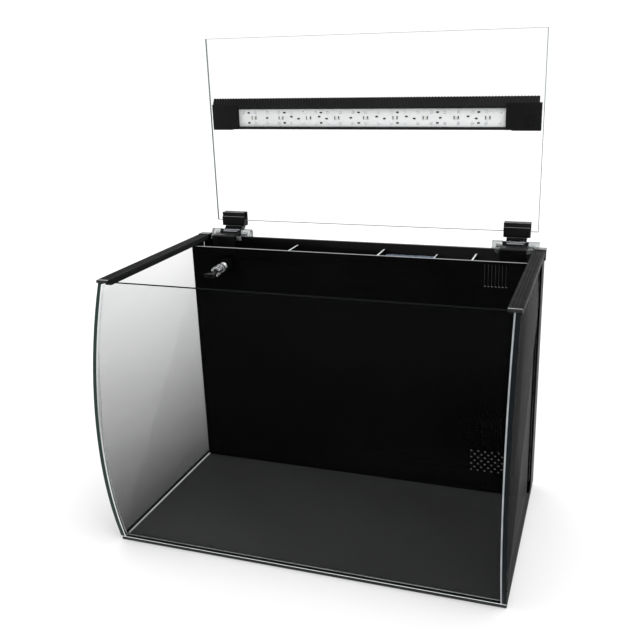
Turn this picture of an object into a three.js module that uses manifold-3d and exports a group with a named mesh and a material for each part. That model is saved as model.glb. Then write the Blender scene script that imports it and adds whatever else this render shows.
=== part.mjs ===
// An all-in-one aquarium: a rimless glass tank with a front pane that bulges in its height, a black
// filter compartment along the back, two grooved top rails and a hinged glass lid that carries a light.
// Millimetres, +Z up, +Y to the back. The origin is the centre of the base pane's underside.
import * as THREE from "three";
import { mergeVertices } from "three/addons/utils/BufferGeometryUtils.js";
import Module from "manifold-3d";

const wasm = await Module();
wasm.setup();

// Driving dimensions of the tank.
const WIDTH = 600;
const DEPTH = 377; // back face to the bulge's foremost line
const HEIGHT = 417; // top edge of the panes
const GLASS = 6;
const BULGE_RADIUS = 580; // outer face of the front pane, seen from the side
const BULGE_HEIGHT = 187; // height of the foremost line
const GAP = 0.3; // between neighbouring pieces
const HALF = WIDTH / 2;
const INNER = HALF - GLASS;
const BACK = (DEPTH - BULGE_RADIUS + Math.sqrt(BULGE_RADIUS ** 2 - BULGE_HEIGHT ** 2)) / 2;
const FLOOR = GLASS + GAP; // foot of everything that stands on the base pane

// Filter compartment.
const ACRYLIC = 4;
const DIVIDER = 3; // thickness of the cross walls
const WEIR_FRONT = BACK - 57;
const WEIR_REAR = WEIR_FRONT + ACRYLIC;
const WEIR_TOP = 408.4;
const CHAMBER_BACK = BACK - GLASS;
const DIVIDERS = { pump: -115.5, heater: 39.7, intake: 193.8 };
const SHORT_DIVIDER = 132.3;
const COMB = { first: 216.1, pitch: 5.48, slots: 7, width: 2.6, low: 367.8, high: 403.6 };
const GRID = { first: 201.7, pitch: 11.4, holes: 5, low: 46.2, rowPitch: 5.9, rows: 7, radius: 1.9 };
const MEDIA_FOOT = 34;

// Return pump and nozzle.
const NOZZLE = new THREE.Vector3(-229, WEIR_FRONT, 379.6);
const RISER_X = -158;
const RISER_Y = BACK - 36;
const HOSE_RADIUS = 9;
const BARB_RADIUS = 6.2;
const SHAFT_RADIUS = 1.25;
const BALL = 8.2;
const TIP_BALL = 5.4;

// Top rails.
const RAIL_INNER = 283.5;
const RAIL_OUTER = HALF + 2;
const RAIL_TOP = 420.3;
const RAIL_FOOT = 411;
const RAIL_FRONT = BACK - 327;
const RAIL_REAR = BACK - 14;
const REAR_CAP_FOOT = 403.5;

// Lid and its hinges.
const AXIS_Y = BACK + 20;
const AXIS_Z = 416;
const HINGE_X = 252.5;
const LID = { half: 286.5, front: BACK + 33, thick: 4, low: 437.8, high: 751 };
const CLAMP = { half: 21.5, low: 429, high: 453, ledge: 446 };
const SADDLE_HALF = 20.5;
const BARREL = 8;
const BARREL_HALF = 16;
const LINER_HALF = 30;
const PIN_HALF = 31;
const KNOB_END = 37.5;
const PIN = 2.5;
const THUMB_Z = -19.5; // the thumbscrew's height below the axis
const SCREW = 2;
const SCREW_LIFT = 3.4; // the clamp screw's height above the clamp's foot

// Light bar on the lid.
const LIGHT = { left: -276.5, right: 279, low: 600.6, high: 651.5, shoulder: 637.5, windowHalf: 228.7 };
const CAP_END = { left: 275.8, right: 283 }; // distance of each cap's outer end from the middle
const LIGHT_FRONT = BACK + 23;
const LIGHT_REAR = LID.front - GAP;
const CHANNEL = { low: 604.6, high: 634, floor: BACK + 30.5 };
const BUTTON = { x: 264.5, z: 613.3, radius: 7 };

const COLOURS = {
  clear: [0xdfeeea, 0.05, 0],
  baseGlass: [0x2c2d2d, 0.15, 0],
  blackGlass: [0x0a0b0c, 0.1, 0],
  acrylic: [0x0b0c0d, 0.25, 0],
  silicone: [0xdfe4e2, 0.5, 0],
  film: [0x0c0c0d, 0.6, 0],
  rail: [0x2b2c2e, 0.4, 0],
  cap: [0x1c1d1f, 0.15, 0],
  clearPlastic: [0xe8ecec, 0.1, 0],
  hinge: [0x232426, 0.35, 0],
  steel: [0xb9bcc0, 0.25, 1],
  pump: [0x17181a, 0.5, 0],
  hose: [0xd9dcdc, 0.4, 0],
  nozzle: [0x6d7174, 0.3, 0],
  sponge: [0x2a3440, 0.95, 0],
  media: [0x171b18, 0.95, 0],
  housing: [0x2a2b2d, 0.45, 0.6],
  board: [0xf2f4f4, 0.5, 0],
};

const tank = new THREE.Group();

// ---- Geometry helpers ----

/** A three.js geometry, or a solid already made, as a manifold solid. */
function solid(shape) {
  if (!shape.isBufferGeometry) return shape;
  const bare = shape.clone();
  bare.deleteAttribute("normal");
  bare.deleteAttribute("uv");
  const merged = mergeVertices(bare, 1e-4);
  return new wasm.Manifold(
    new wasm.Mesh({
      numProp: 3,
      vertProperties: merged.attributes.position.array,
      triVerts: new Uint32Array(merged.index.array),
    }),
  );
}

const join = (...shapes) => shapes.map(solid).reduce((a, b) => a.add(b));
const cut = (shape, ...tools) => tools.map(solid).reduce((a, b) => a.subtract(b), solid(shape));

function geometryOf(made) {
  const mesh = made.getMesh();
  const geometry = new THREE.BufferGeometry();
  geometry.setAttribute("position", new THREE.BufferAttribute(new Float32Array(mesh.vertProperties), 3));
  geometry.setIndex(new THREE.BufferAttribute(new Uint32Array(mesh.triVerts), 1));
  geometry.computeVertexNormals();
  return geometry;
}

/** Adds one named piece to a group, in one of the named colours. */
function piece(name, shape, colour, group = tank) {
  const [color, roughness, metalness] = COLOURS[colour];
  const geometry = shape.isBufferGeometry ? shape : geometryOf(shape);
  const mesh = new THREE.Mesh(geometry, new THREE.MeshStandardMaterial({ color, roughness, metalness }));
  mesh.name = name;
  group.add(mesh);
}

function box(x0, x1, y0, y1, z0, z1) {
  const geometry = new THREE.BoxGeometry(x1 - x0, y1 - y0, z1 - z0);
  return geometry.translate((x0 + x1) / 2, (y0 + y1) / 2, (z0 + z1) / 2);
}

const outline = (points) => new THREE.Shape(points.map(([a, b]) => new THREE.Vector2(a, b)));

/** A slab from x0 to x1 of an outline of [y, z] points. */
function slabX(points, x0, x1) {
  const geometry = new THREE.ExtrudeGeometry(outline(points), { depth: x1 - x0, bevelEnabled: false });
  const basis = new THREE.Matrix4().makeBasis(
    new THREE.Vector3(0, 1, 0),
    new THREE.Vector3(0, 0, 1),
    new THREE.Vector3(1, 0, 0),
  );
  return geometry.applyMatrix4(basis).translate(x0, 0, 0);
}

/** A slab from y0 to y1 of an outline of [x, z] points. */
function slabY(points, y0, y1) {
  const geometry = new THREE.ExtrudeGeometry(outline(points), { depth: y1 - y0, bevelEnabled: false });
  return geometry.rotateX(Math.PI / 2).translate(0, y1, 0);
}

/** A slab from z0 to z1 of an outline of [x, y] points. */
function slabZ(points, z0, z1) {
  const geometry = new THREE.ExtrudeGeometry(outline(points), { depth: z1 - z0, bevelEnabled: false });
  return geometry.translate(0, 0, z0);
}

/** A round bar along an axis, from a to b on it, through the other two coordinates. */
function rod(axis, radius, a, b, u, v, sides = 24, tipRadius = radius) {
  const geometry = new THREE.CylinderGeometry(tipRadius, radius, b - a, sides);
  const middle = (a + b) / 2;
  if (axis === "x") return geometry.rotateZ(-Math.PI / 2).translate(middle, u, v);
  if (axis === "y") return geometry.translate(u, middle, v);
  return geometry.rotateX(Math.PI / 2).translate(u, v, middle);
}

/** The same solid on the other side of the plane x = 0. */
const mirrored = (shape) => solid(shape).mirror([1, 0, 0]);

const ball = (radius, x, y, z) => new THREE.SphereGeometry(radius, 20, 12).translate(x, y, z);

/** The front pane's y at height z, on the outer face or inset behind it. */
function bulgeY(z, inset = 0) {
  const rise = Math.sqrt((BULGE_RADIUS - inset) ** 2 - (z - BULGE_HEIGHT) ** 2);
  return BACK - DEPTH + BULGE_RADIUS - rise;
}

/** [y, z] points up the front pane's curve. */
function bulge(z0, z1, inset, steps = 20) {
  return Array.from({ length: steps + 1 }, (_, i) => {
    const z = z0 + ((z1 - z0) * i) / steps;
    return [bulgeY(z, inset), z];
  });
}

/** The outline between two insets of the front pane's curve. */
const bulgeBand = (z0, z1, outer, inner) => [...bulge(z0, z1, inner), ...bulge(z0, z1, outer).reverse()];

// ---- Glass ----

const FRONT_END = INNER - 2.6; // the front pane stops short of the side panes, and silicone fills the joint
const SEAM = 1.8; // leg of a silicone bead
const JOINT = 1.2; // thickness of the silicone that the front and side panes stand on
const PANE_FOOT = FLOOR + JOINT + GAP;

function panes() {
  piece("bottom_glass", box(-HALF, HALF, bulgeY(0), BACK, 0, GLASS), "baseGlass");
  piece("front_glass", slabX(bulgeBand(PANE_FOOT, HEIGHT, 0, GLASS), -FRONT_END, FRONT_END), "clear");
  const side = [[BACK, HEIGHT], ...bulge(PANE_FOOT, HEIGHT, 0).reverse(), [BACK, PANE_FOOT]];
  piece("right_glass", slabX(side, INNER, HALF), "clear");
  piece("left_glass", slabX(side, -HALF, -INNER), "clear");
  piece("back_glass", box(-INNER + GAP, INNER - GAP, CHAMBER_BACK, BACK, FLOOR, HEIGHT), "blackGlass");
}

/** Silicone in the upright joint between the front pane and the right side pane. */
function frontSeam() {
  return slabX(bulgeBand(PANE_FOOT, HEIGHT, 0.5, GLASS - GAP), FRONT_END + GAP, INNER - GAP);
}

/** Silicone under the front and side panes, with a bead inside them round the display space. */
function baseSeam() {
  const edge = 0.4; // set in from the base pane's edges
  const half = INNER - GAP;
  const front = bulgeY(FLOOR, GLASS);
  const rear = WEIR_FRONT - GAP;
  const top = FLOOR + SEAM + 1;
  return cut(
    join(
      box(-HALF + edge, HALF - edge, bulgeY(FLOOR) + edge, BACK - edge, FLOOR, FLOOR + JOINT),
      box(-half, half, front, rear, FLOOR, FLOOR + SEAM),
    ),
    box(-half + SEAM, half - SEAM, front + SEAM, BACK, 0, top),
    box(-INNER, INNER, rear, BACK + 1, 0, top),
  );
}

function seams() {
  piece("seam_base", baseSeam(), "silicone");
  piece("seam_front_right", frontSeam(), "silicone");
  piece("seam_front_left", mirrored(frontSeam()), "silicone");
}

/** Black film on the side panes beside the filter compartment, cut round the rail's rear cap. */
function films() {
  const front = WEIR_FRONT + 12;
  const rear = BACK - GAP;
  const top = RAIL_FOOT - GAP;
  const notch = REAR_CAP_FOOT - GAP;
  const side = [
    [front, PANE_FOOT],
    [rear, PANE_FOOT],
    [rear, notch],
    [RAIL_REAR, notch],
    [RAIL_REAR, top],
    [front, top],
  ];
  const film = slabX(side, HALF + GAP, HALF + 0.8);
  piece("film_right", film, "film");
  piece("film_left", mirrored(film), "film");
}

// ---- Filter compartment ----

/** The compartment's front wall, with its overflow comb, its low intake and the nozzle's hole. */
function weir() {
  const tools = [rod("y", 9.4, WEIR_FRONT - 1, WEIR_REAR + 1, NOZZLE.x, NOZZLE.z)];
  for (let i = 0; i < COMB.slots; i++) {
    const x = COMB.first + i * COMB.pitch;
    const half = COMB.width / 2;
    tools.push(box(x - half, x + half, WEIR_FRONT - 1, WEIR_REAR + 1, COMB.low, COMB.high));
  }
  for (let row = 0; row < GRID.rows; row++) {
    for (let i = 0; i < GRID.holes; i++) {
      const x = GRID.first + (i + (row % 2) / 2) * GRID.pitch;
      const z = GRID.low + row * GRID.rowPitch;
      tools.push(rod("y", GRID.radius, WEIR_FRONT - 1, WEIR_REAR + 1, x, z, 10));
    }
  }
  return cut(box(-INNER + GAP, INNER - GAP, WEIR_FRONT, WEIR_REAR, FLOOR, WEIR_TOP), ...tools);
}

/** A cross wall of the compartment with a row of slots for the water, low down or high up. */
function divider(x, slotsLow, slotsHigh) {
  const front = WEIR_REAR + GAP;
  const rear = CHAMBER_BACK - GAP;
  const slots = Array.from({ length: 4 }, (_, i) => {
    const y = front + 6 + i * 10;
    return box(x - DIVIDER, x + DIVIDER, y, y + 4, slotsLow, slotsHigh);
  });
  return cut(box(x - DIVIDER / 2, x + DIVIDER / 2, front, rear, FLOOR, WEIR_TOP - 0.8), ...slots);
}

function compartment() {
  piece("weir_panel", weir(), "acrylic");
  piece("divider_pump", divider(DIVIDERS.pump, 300, 330), "acrylic");
  piece("divider_heater", divider(DIVIDERS.heater, 14, 30), "acrylic");
  piece("divider_intake", divider(DIVIDERS.intake, 14, 30), "acrylic");
  piece("divider_short", shortDivider(), "acrylic");
}

/** The thin cross wall between sponge and bag, its top cut away at the back to let water over. */
function shortDivider() {
  const front = WEIR_REAR + GAP;
  const rear = CHAMBER_BACK - GAP;
  const top = WEIR_TOP - 1.5;
  const [notchY, notchZ] = [BACK - 21, 372];
  const wall = [
    [front, FLOOR],
    [rear, FLOOR],
    [rear, notchZ],
    [notchY, notchZ],
    [notchY, top],
    [front, top],
  ];
  return slabX(wall, SHORT_DIVIDER - 1, SHORT_DIVIDER + 1);
}

/** A pierced plate between x0 and x1, glued to the walls round it, for filter media to stand on. */
function shelf(x0, x1) {
  const front = WEIR_REAR + GAP;
  const rear = CHAMBER_BACK - GAP;
  const margin = 3;
  const count = Math.floor((x1 - x0 - 2 * margin) / 9);
  const pitch = (x1 - x0 - 2 * margin) / count;
  const slots = Array.from({ length: count }, (_, i) => {
    const x = x0 + margin + pitch * (i + 0.5);
    return box(x - 2.5, x + 2.5, front + 5, rear - 5, 0, MEDIA_FOOT);
  });
  return cut(box(x0, x1, front, rear, MEDIA_FOOT - GAP - 3, MEDIA_FOOT - GAP), ...slots);
}

/** Filter media that lift out of their chambers, each on its own shelf. */
function media() {
  const front = WEIR_REAR + 1;
  const rear = CHAMBER_BACK - 1;
  const play = 1; // beside the media, so that they lift out
  const spongeSpan = [DIVIDERS.heater + DIVIDER / 2 + GAP, SHORT_DIVIDER - 1 - GAP];
  const bagSpan = [SHORT_DIVIDER + 1 + GAP, DIVIDERS.intake - DIVIDER / 2 - GAP];
  piece("shelf_sponge", shelf(...spongeSpan), "acrylic");
  piece("shelf_media", shelf(...bagSpan), "acrylic");
  piece("sponge", box(spongeSpan[0] + play, spongeSpan[1] - play, front, rear, MEDIA_FOOT, 401), "sponge");
  piece("media_bag", box(bagSpan[0] + play, bagSpan[1] - play, front, rear, MEDIA_FOOT, 397), "media");
}

// ---- Pump, hose and nozzle ----

const PUMP = { left: -206, right: -150, front: RISER_Y - 16, rear: RISER_Y + 19, top: 58 };
const ROTOR_Y = (PUMP.front + PUMP.rear) / 2;
const ROTOR_Z = 32;
const ROTOR = { volute: 14, voluteDepth: 15, well: 9, wellEnd: -195, play: 0.8 };

/** The pump's housing: a volute open to the strainer, a closed well for the magnet and the outlet stub. */
function pumpBody() {
  const { left, right, front, rear, top } = PUMP;
  const c = 6;
  const plan = [
    [left, front + c], [left + c, front], [right - c, front], [right, front + c],
    [right, rear - c], [right - c, rear], [left + c, rear], [left, rear - c],
  ];
  return cut(
    join(slabZ(plan, FLOOR, top), rod("z", BARB_RADIUS, top - 1, top + 26, RISER_X, RISER_Y)),
    rod("x", ROTOR.volute, right - ROTOR.voluteDepth, right + 1, ROTOR_Y, ROTOR_Z, 28),
    rod("x", ROTOR.well, ROTOR.wellEnd, right, ROTOR_Y, ROTOR_Z),
    rod("x", SHAFT_RADIUS + GAP, ROTOR.wellEnd - 6, right, ROTOR_Y, ROTOR_Z, 12),
    rod("z", 4.2, ROTOR_Z + 6, top + 27, RISER_X, RISER_Y),
  );
}

/** Magnet and impeller in one moulding, bored for the shaft. */
function pumpRotor() {
  const { volute, voluteDepth, well, wellEnd, play } = ROTOR;
  const hub = PUMP.right - voluteDepth + play;
  const blades = [0, 1, 2, 3, 4, 5].map((i) => {
    const blade = box(hub + 1, PUMP.right - 2, 3, volute - 1.5, -0.9, 0.9);
    return blade.rotateX((i * Math.PI) / 3).translate(0, ROTOR_Y, ROTOR_Z);
  });
  return cut(
    join(
      rod("x", well - play, wellEnd + play, hub + 1, ROTOR_Y, ROTOR_Z),
      rod("x", volute - 1.5, hub, hub + 2, ROTOR_Y, ROTOR_Z, 28),
      rod("x", 4.5, hub, PUMP.right - 2, ROTOR_Y, ROTOR_Z, 16),
      ...blades,
    ),
    rod("x", SHAFT_RADIUS + GAP, wellEnd, PUMP.right, ROTOR_Y, ROTOR_Z, 12),
  );
}

/** The slotted suction cover over the open side of the volute. */
function pumpStrainer() {
  const { right, front, rear, top } = PUMP;
  const slots = Array.from({ length: 5 }, (_, i) => {
    const y = front + 5.5 + i * 5.2;
    return box(right, right + 14, y, y + 2.4, FLOOR + 9, top - 10);
  });
  return cut(box(right + GAP, right + 12, front + 2, rear - 2, FLOOR + 3, top - 5), ...slots);
}

function pump() {
  piece("pump_body", pumpBody(), "pump");
  piece("pump_rotor", pumpRotor(), "nozzle");
  const shaft = rod("x", SHAFT_RADIUS, ROTOR.wellEnd - 5.5, PUMP.right - GAP, ROTOR_Y, ROTOR_Z, 12);
  piece("pump_shaft", shaft, "steel");
  piece("pump_strainer", pumpStrainer(), "pump");
}

/** The hose from the pump's outlet up and round to the nozzle's barb. */
function riserHose() {
  const bend = 34;
  const foot = PUMP.top + 8;
  const end = -210;
  const path = new THREE.CurvePath();
  const at = (x, z) => new THREE.Vector3(x, RISER_Y, z);
  path.add(new THREE.LineCurve3(at(RISER_X, foot), at(RISER_X, NOZZLE.z - bend)));
  const quarter = Array.from({ length: 9 }, (_, i) => {
    const turn = (i / 8) * (Math.PI / 2);
    return at(RISER_X - bend + bend * Math.cos(turn), NOZZLE.z - bend + bend * Math.sin(turn));
  });
  path.add(new THREE.CatmullRomCurve3(quarter));
  path.add(new THREE.LineCurve3(quarter[8], at(end, NOZZLE.z)));
  const wall = new THREE.Shape().absarc(0, 0, HOSE_RADIUS, 0, 2 * Math.PI);
  wall.holes.push(new THREE.Path().absarc(0, 0, BARB_RADIUS + GAP, 0, 2 * Math.PI, true));
  const section = { steps: 24, curveSegments: 10, extrudePath: path };
  piece("riser_hose", new THREE.ExtrudeGeometry(wall, section), "hose");
}

/** The fixed fitting through the weir: a flange, a ball socket in front and a barbed elbow behind. */
function bulkhead() {
  const { x, z } = NOZZLE;
  const y = WEIR_FRONT - GAP;
  const seat = y - 10; // centre of the socket's ball
  const solidPart = join(
    rod("y", 11.8, y - 3, y, x, z),
    rod("y", 11, seat - 3.8, y - 1, x, z),
    rod("y", 9, y - 1, RISER_Y + 8, x, z),
    rod("x", BARB_RADIUS, x, x + 26, RISER_Y, z),
  );
  const bore = join(rod("y", 4.5, seat, RISER_Y, x, z), rod("x", 4.2, x, x + 27, RISER_Y, z));
  piece("nozzle_bulkhead", cut(solidPart, ball(BALL + GAP, x, seat, z), bore), "pump");
  const nut = cut(
    rod("y", 14, WEIR_REAR + GAP, WEIR_REAR + 7, x, z, 6),
    rod("y", 9 + GAP, WEIR_REAR, WEIR_REAR + 8, x, z),
  );
  piece("nozzle_nut", nut, "pump");
}

/** The swivelling link and the flat fan nozzle in front of it, in turned groups about their balls. */
function nozzle() {
  const link = new THREE.Group();
  link.position.set(NOZZLE.x, WEIR_FRONT - GAP - 10, NOZZLE.z);
  link.rotation.set(THREE.MathUtils.degToRad(9), 0, THREE.MathUtils.degToRad(-6));
  const reach = 26; // from ball to ball
  const ribs = Array.from({ length: 8 }, (_, i) =>
    box(-0.9, 0.9, -reach - 3.4, -reach + 8, 5, 8.5).rotateY(((i + 0.5) * Math.PI) / 4),
  );
  const sleeve = join(
    rod("y", 7.3, -reach - 3.4, -12, 0, 0, 24, 6.2),
    rod("y", 7.8, -12.5, -8, 0, 0, 24, 7),
    ...ribs,
  );
  const linkShape = cut(
    join(ball(BALL, 0, 0, 0), rod("y", 5, -16, 0, 0, 0), sleeve),
    ball(TIP_BALL + GAP, 0, -reach, 0),
    rod("y", 3.2, -reach, 9, 0, 0, 16),
  );
  piece("nozzle_link", linkShape, "nozzle", link);
  tank.add(link);

  link.updateMatrixWorld(true);
  const tip = new THREE.Group();
  tip.position.copy(link.localToWorld(new THREE.Vector3(0, -reach, 0)));
  tip.rotation.set(THREE.MathUtils.degToRad(4), 0, THREE.MathUtils.degToRad(-3));
  const fan = [[-3.5, -6], [3.5, -6], [5, -9], [10, -24], [-10, -24], [-5, -9]];
  const duct = [[-2, 7], [2, 7], [3, -9], [8.6, -25], [-8.6, -25], [-3, -9]];
  const tipShape = cut(
    join(ball(TIP_BALL, 0, 0, 0), rod("y", 2.8, -12, 0, 0, 0), slabZ(fan, -2.6, 2.6)),
    slabZ(duct, -1.4, 1.4),
  );
  piece("nozzle_fan", tipShape, "nozzle", tip);
  tank.add(tip);
}

// ---- Top rails ----

/** A grooved cover strip over a side pane's top edge, with a skirt outside and a ledge inside. */
function rail() {
  const plateFoot = HEIGHT + GAP;
  const groove = 1;
  const top = [[RAIL_OUTER, plateFoot], [RAIL_OUTER, RAIL_TOP]];
  for (const x of [297, 292.5, 288]) {
    top.push([x + 1, RAIL_TOP], [x + 0.5, RAIL_TOP - groove]);
    top.push([x - 0.5, RAIL_TOP - groove], [x - 1, RAIL_TOP]);
  }
  top.push([RAIL_INNER, RAIL_TOP], [RAIL_INNER, plateFoot]);
  const ledgeFront = bulgeY(RAIL_FOOT, GLASS) + 4;
  const ledge = box(RAIL_INNER, INNER - GAP, ledgeFront, RAIL_REAR, RAIL_FOOT, plateFoot + 1);
  const skirt = box(HALF + GAP, RAIL_OUTER, RAIL_FRONT, RAIL_REAR, RAIL_FOOT, plateFoot + 1);
  return join(slabY(top, RAIL_FRONT, RAIL_REAR), ledge, skirt);
}

/** The glossy cap on a rail's front end, its nose turned down a little over the panes' top corner. */
function railFrontCap() {
  const rear = RAIL_FRONT - GAP;
  const front = bulgeY(HEIGHT) - 1.8;
  const nose = HEIGHT - 1;
  const cap = [
    [rear, HEIGHT + GAP],
    [rear, RAIL_TOP],
    [front + 1.6, RAIL_TOP],
    [front, RAIL_TOP - 1.2],
    [front, nose],
    [front + 1, nose],
    [front + 1.4, HEIGHT + GAP],
  ];
  return slabX(cap, RAIL_INNER, RAIL_OUTER);
}

/** The corner cap behind a rail: a top plate and two skirts down the outside of the corner. */
function railRearCap() {
  const [x0, x1] = [RAIL_INNER - GAP, RAIL_OUTER + 1.2];
  const [y0, y1] = [RAIL_REAR + GAP, BACK + 2.2];
  return join(
    box(x0, x1, y0, y1, HEIGHT + GAP, RAIL_TOP + 0.6),
    box(HALF + GAP, x1, y0, y1, REAR_CAP_FOOT, HEIGHT + 1),
    box(x0, x1, BACK + GAP, y1, REAR_CAP_FOOT, HEIGHT + 1),
  );
}

function rails() {
  for (const [name, shape, colour] of [
    ["rail", rail(), "rail"],
    ["rail_front_cap", railFrontCap(), "cap"],
    ["rail_rear_cap", railRearCap(), "cap"],
  ]) {
    piece(name + "_right", shape, colour);
    piece(name + "_left", mirrored(shape), colour);
  }
}

// ---- Lid hinges, each in a group at its axis ----

/** The saddle over the back pane, with a lug at each end of the barrel. */
function saddle() {
  const glassFront = -GLASS - 20;
  const glassTop = HEIGHT - AXIS_Z;
  const web = [
    [glassFront - 1.6, glassTop - 27],
    [glassFront - 1.6, glassTop + 1.6],
    [-18.4, glassTop + 1.6],
    [-18.4, glassTop - 28],
    [-13.5, glassTop - 28],
    [-13.5, glassTop + 3.4],
    [glassFront - 8, glassTop + 3.4],
    [glassFront - 12, glassTop + 1.6],
    [glassFront - 12, glassTop - 20],
    [glassFront - 7, glassTop - 27],
  ];
  const lug = join(
    rod("x", 8.5, BARREL_HALF + GAP, SADDLE_HALF, 0, 0),
    box(BARREL_HALF + GAP, SADDLE_HALF, -14, 0, -8, 4.2),
  );
  return cut(
    join(slabX(web, -SADDLE_HALF, SADDLE_HALF), lug, mirrored(lug)),
    rod("x", PIN + GAP, -SADDLE_HALF - 1, SADDLE_HALF + 1, 0, 0),
    rod("y", 2.5 + GAP, -20, -12, 0, THUMB_Z, 16),
  );
}

/** A soft clear liner between the saddle and the glass, wider than the saddle. */
function liner() {
  const glassFront = -GLASS - 20;
  const glassTop = HEIGHT - AXIS_Z;
  const outer = [
    [glassFront - GAP, glassTop - 6],
    [glassFront - GAP, glassTop + GAP],
    [-20 + GAP, glassTop + GAP],
    [-20 + GAP, glassTop - 9],
    [-20 + 1.3, glassTop - 9],
    [-20 + 1.3, glassTop + 1.3],
    [glassFront - 1.3, glassTop + 1.3],
    [glassFront - 1.3, glassTop - 6],
  ];
  return slabX(outer, -LINER_HALF, LINER_HALF);
}

/** The moving arm: barrel, stop toe, ribbed neck and the clamp's rear plate. */
function arm() {
  const rear = LID.front + LID.thick + GAP - AXIS_Y;
  const low = CLAMP.low - AXIS_Z;
  const neck = [[-6.5, 4], [6.6, 11], [6.6, low], [rear + 6, low], [rear + 6, low - 5], [6, -3]];
  const shelf = [
    [LID.front - AXIS_Y, low - 0.5],
    [rear + 6, low - 0.5],
    [rear + 6, CLAMP.high - AXIS_Z],
    [rear, CLAMP.high - AXIS_Z],
    [rear, LID.low - GAP - AXIS_Z],
    [LID.front - AXIS_Y, LID.low - GAP - AXIS_Z],
  ];
  const body = join(
    rod("x", BARREL, -BARREL_HALF, BARREL_HALF, 0, 0, 32),
    box(-14, 14, -13.2, -4, -6.5, -1),
    box(-13.5, 13.5, -11.4, -2, -2, 6.5),
    slabX(neck, -BARREL_HALF, BARREL_HALF),
    slabX(shelf, -CLAMP.half, CLAMP.half),
  );
  const grooves = [-10, 8, 12].map((x) => box(x - 0.7, x + 0.7, -2, 7.8, 8.5, low - 1));
  return cut(
    body,
    rod("x", PIN + GAP, -BARREL_HALF - 1, BARREL_HALF + 1, 0, 0),
    rod("y", SCREW + GAP, 12, rear + 7, 0, low + SCREW_LIFT, 16),
    ...grooves,
  );
}

/** The clamp's front plate, with a ledge where it thins towards its top. */
function jaw() {
  const rear = LID.front - GAP - AXIS_Y;
  const [low, ledge, high] = [CLAMP.low, CLAMP.ledge, CLAMP.high].map((z) => z - AXIS_Z);
  const plate = [
    [rear, low + GAP], [rear, high], [rear - 3.4, high], [rear - 3.4, ledge],
    [rear - 5.6, ledge - 1], [rear - 5.6, low + GAP],
  ];
  const hole = rod("y", SCREW + GAP, rear - 2, rear + 1, 0, low + SCREW_LIFT, 16);
  return cut(slabX(plate, -CLAMP.half, CLAMP.half), hole);
}

function hinge(side, name) {
  const group = new THREE.Group();
  group.position.set(side * HINGE_X, AXIS_Y, AXIS_Z);
  const rear = LID.front + LID.thick + GAP + 6 - AXIS_Y;
  const screwZ = CLAMP.low + SCREW_LIFT - AXIS_Z;
  piece("hinge_saddle_" + name, saddle(), "hinge", group);
  piece("hinge_liner_" + name, liner(), "clearPlastic", group);
  piece("hinge_pin_" + name, rod("x", PIN, -PIN_HALF, PIN_HALF, 0, 0), "steel", group);
  const cap = cut(
    rod("x", 9.2, SADDLE_HALF + GAP, KNOB_END, 0, 0, 32),
    rod("x", PIN + GAP, SADDLE_HALF, PIN_HALF + GAP, 0, 0),
  );
  piece("hinge_cap_" + name + "_a", mirrored(cap), "clearPlastic", group);
  piece("hinge_cap_" + name + "_b", cap, "clearPlastic", group);
  const thumb = join(rod("y", 2.5, -19.7, -13, 0, THUMB_Z, 16), rod("y", 6, -13.1, -6, 0, THUMB_Z, 12));
  piece("hinge_thumbscrew_" + name, thumb, "hinge", group);
  piece("hinge_arm_" + name, arm(), "hinge", group);
  piece("hinge_jaw_" + name, jaw(), "hinge", group);
  const screw = join(
    rod("y", SCREW, LID.front - 1 - AXIS_Y, rear + 1, 0, screwZ, 16),
    rod("y", 2 * SCREW, rear + GAP, rear + 2.5, 0, screwZ, 16),
  );
  piece("hinge_screw_" + name, screw, "steel", group);
  tank.add(group);
}

// ---- Lid and light ----

function lid() {
  const { half, front, thick, low, high } = LID;
  piece("lid_glass", box(-half, half, front, front + thick, low, high), "clear");
}

/** The bar's extruded body: a back plate, a sloped upper flank and a lower lip, open to the front. */
function lightHousing() {
  const profile = [
    [LIGHT_REAR, LIGHT.low],
    [LIGHT_REAR, LIGHT.high],
    [LIGHT_REAR - 1.4, LIGHT.high],
    [LIGHT_FRONT, LIGHT.shoulder],
    [LIGHT_FRONT, CHANNEL.high],
    [CHANNEL.floor, CHANNEL.high],
    [CHANNEL.floor, CHANNEL.low],
    [LIGHT_FRONT, CHANNEL.low],
    [LIGHT_FRONT, LIGHT.low],
  ];
  return slabX(profile, LIGHT.left, LIGHT.right);
}

/** What both end caps have: a plug in the channel and a cover plate before it, here at the right end. */
function lightCap(plugEnd, plateEnd) {
  const plate = LIGHT_FRONT - GAP;
  const inner = LIGHT.windowHalf + GAP;
  return join(
    box(inner, plugEnd, plate - 0.5, CHANNEL.floor - GAP, CHANNEL.low + GAP, CHANNEL.high - GAP),
    box(inner, plateEnd, plate - 1.2, plate, LIGHT.low, 642),
    box(inner + 9.5, plateEnd, plate - 1.2, plate, LIGHT.low - 1, LIGHT.low + 1),
  );
}

/** The right cap wraps the bar's end and holds the button. */
function lightCapRight() {
  const end = LIGHT.right + GAP;
  const wrap = box(end, CAP_END.right, LIGHT_FRONT - GAP - 1.2, LIGHT_REAR, LIGHT.low - 1, 642);
  const well = rod("y", BUTTON.radius + GAP, LIGHT_FRONT - 3, BACK + 28, BUTTON.x, BUTTON.z, 32);
  return cut(join(lightCap(end + 1, CAP_END.right), wrap), well);
}

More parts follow.
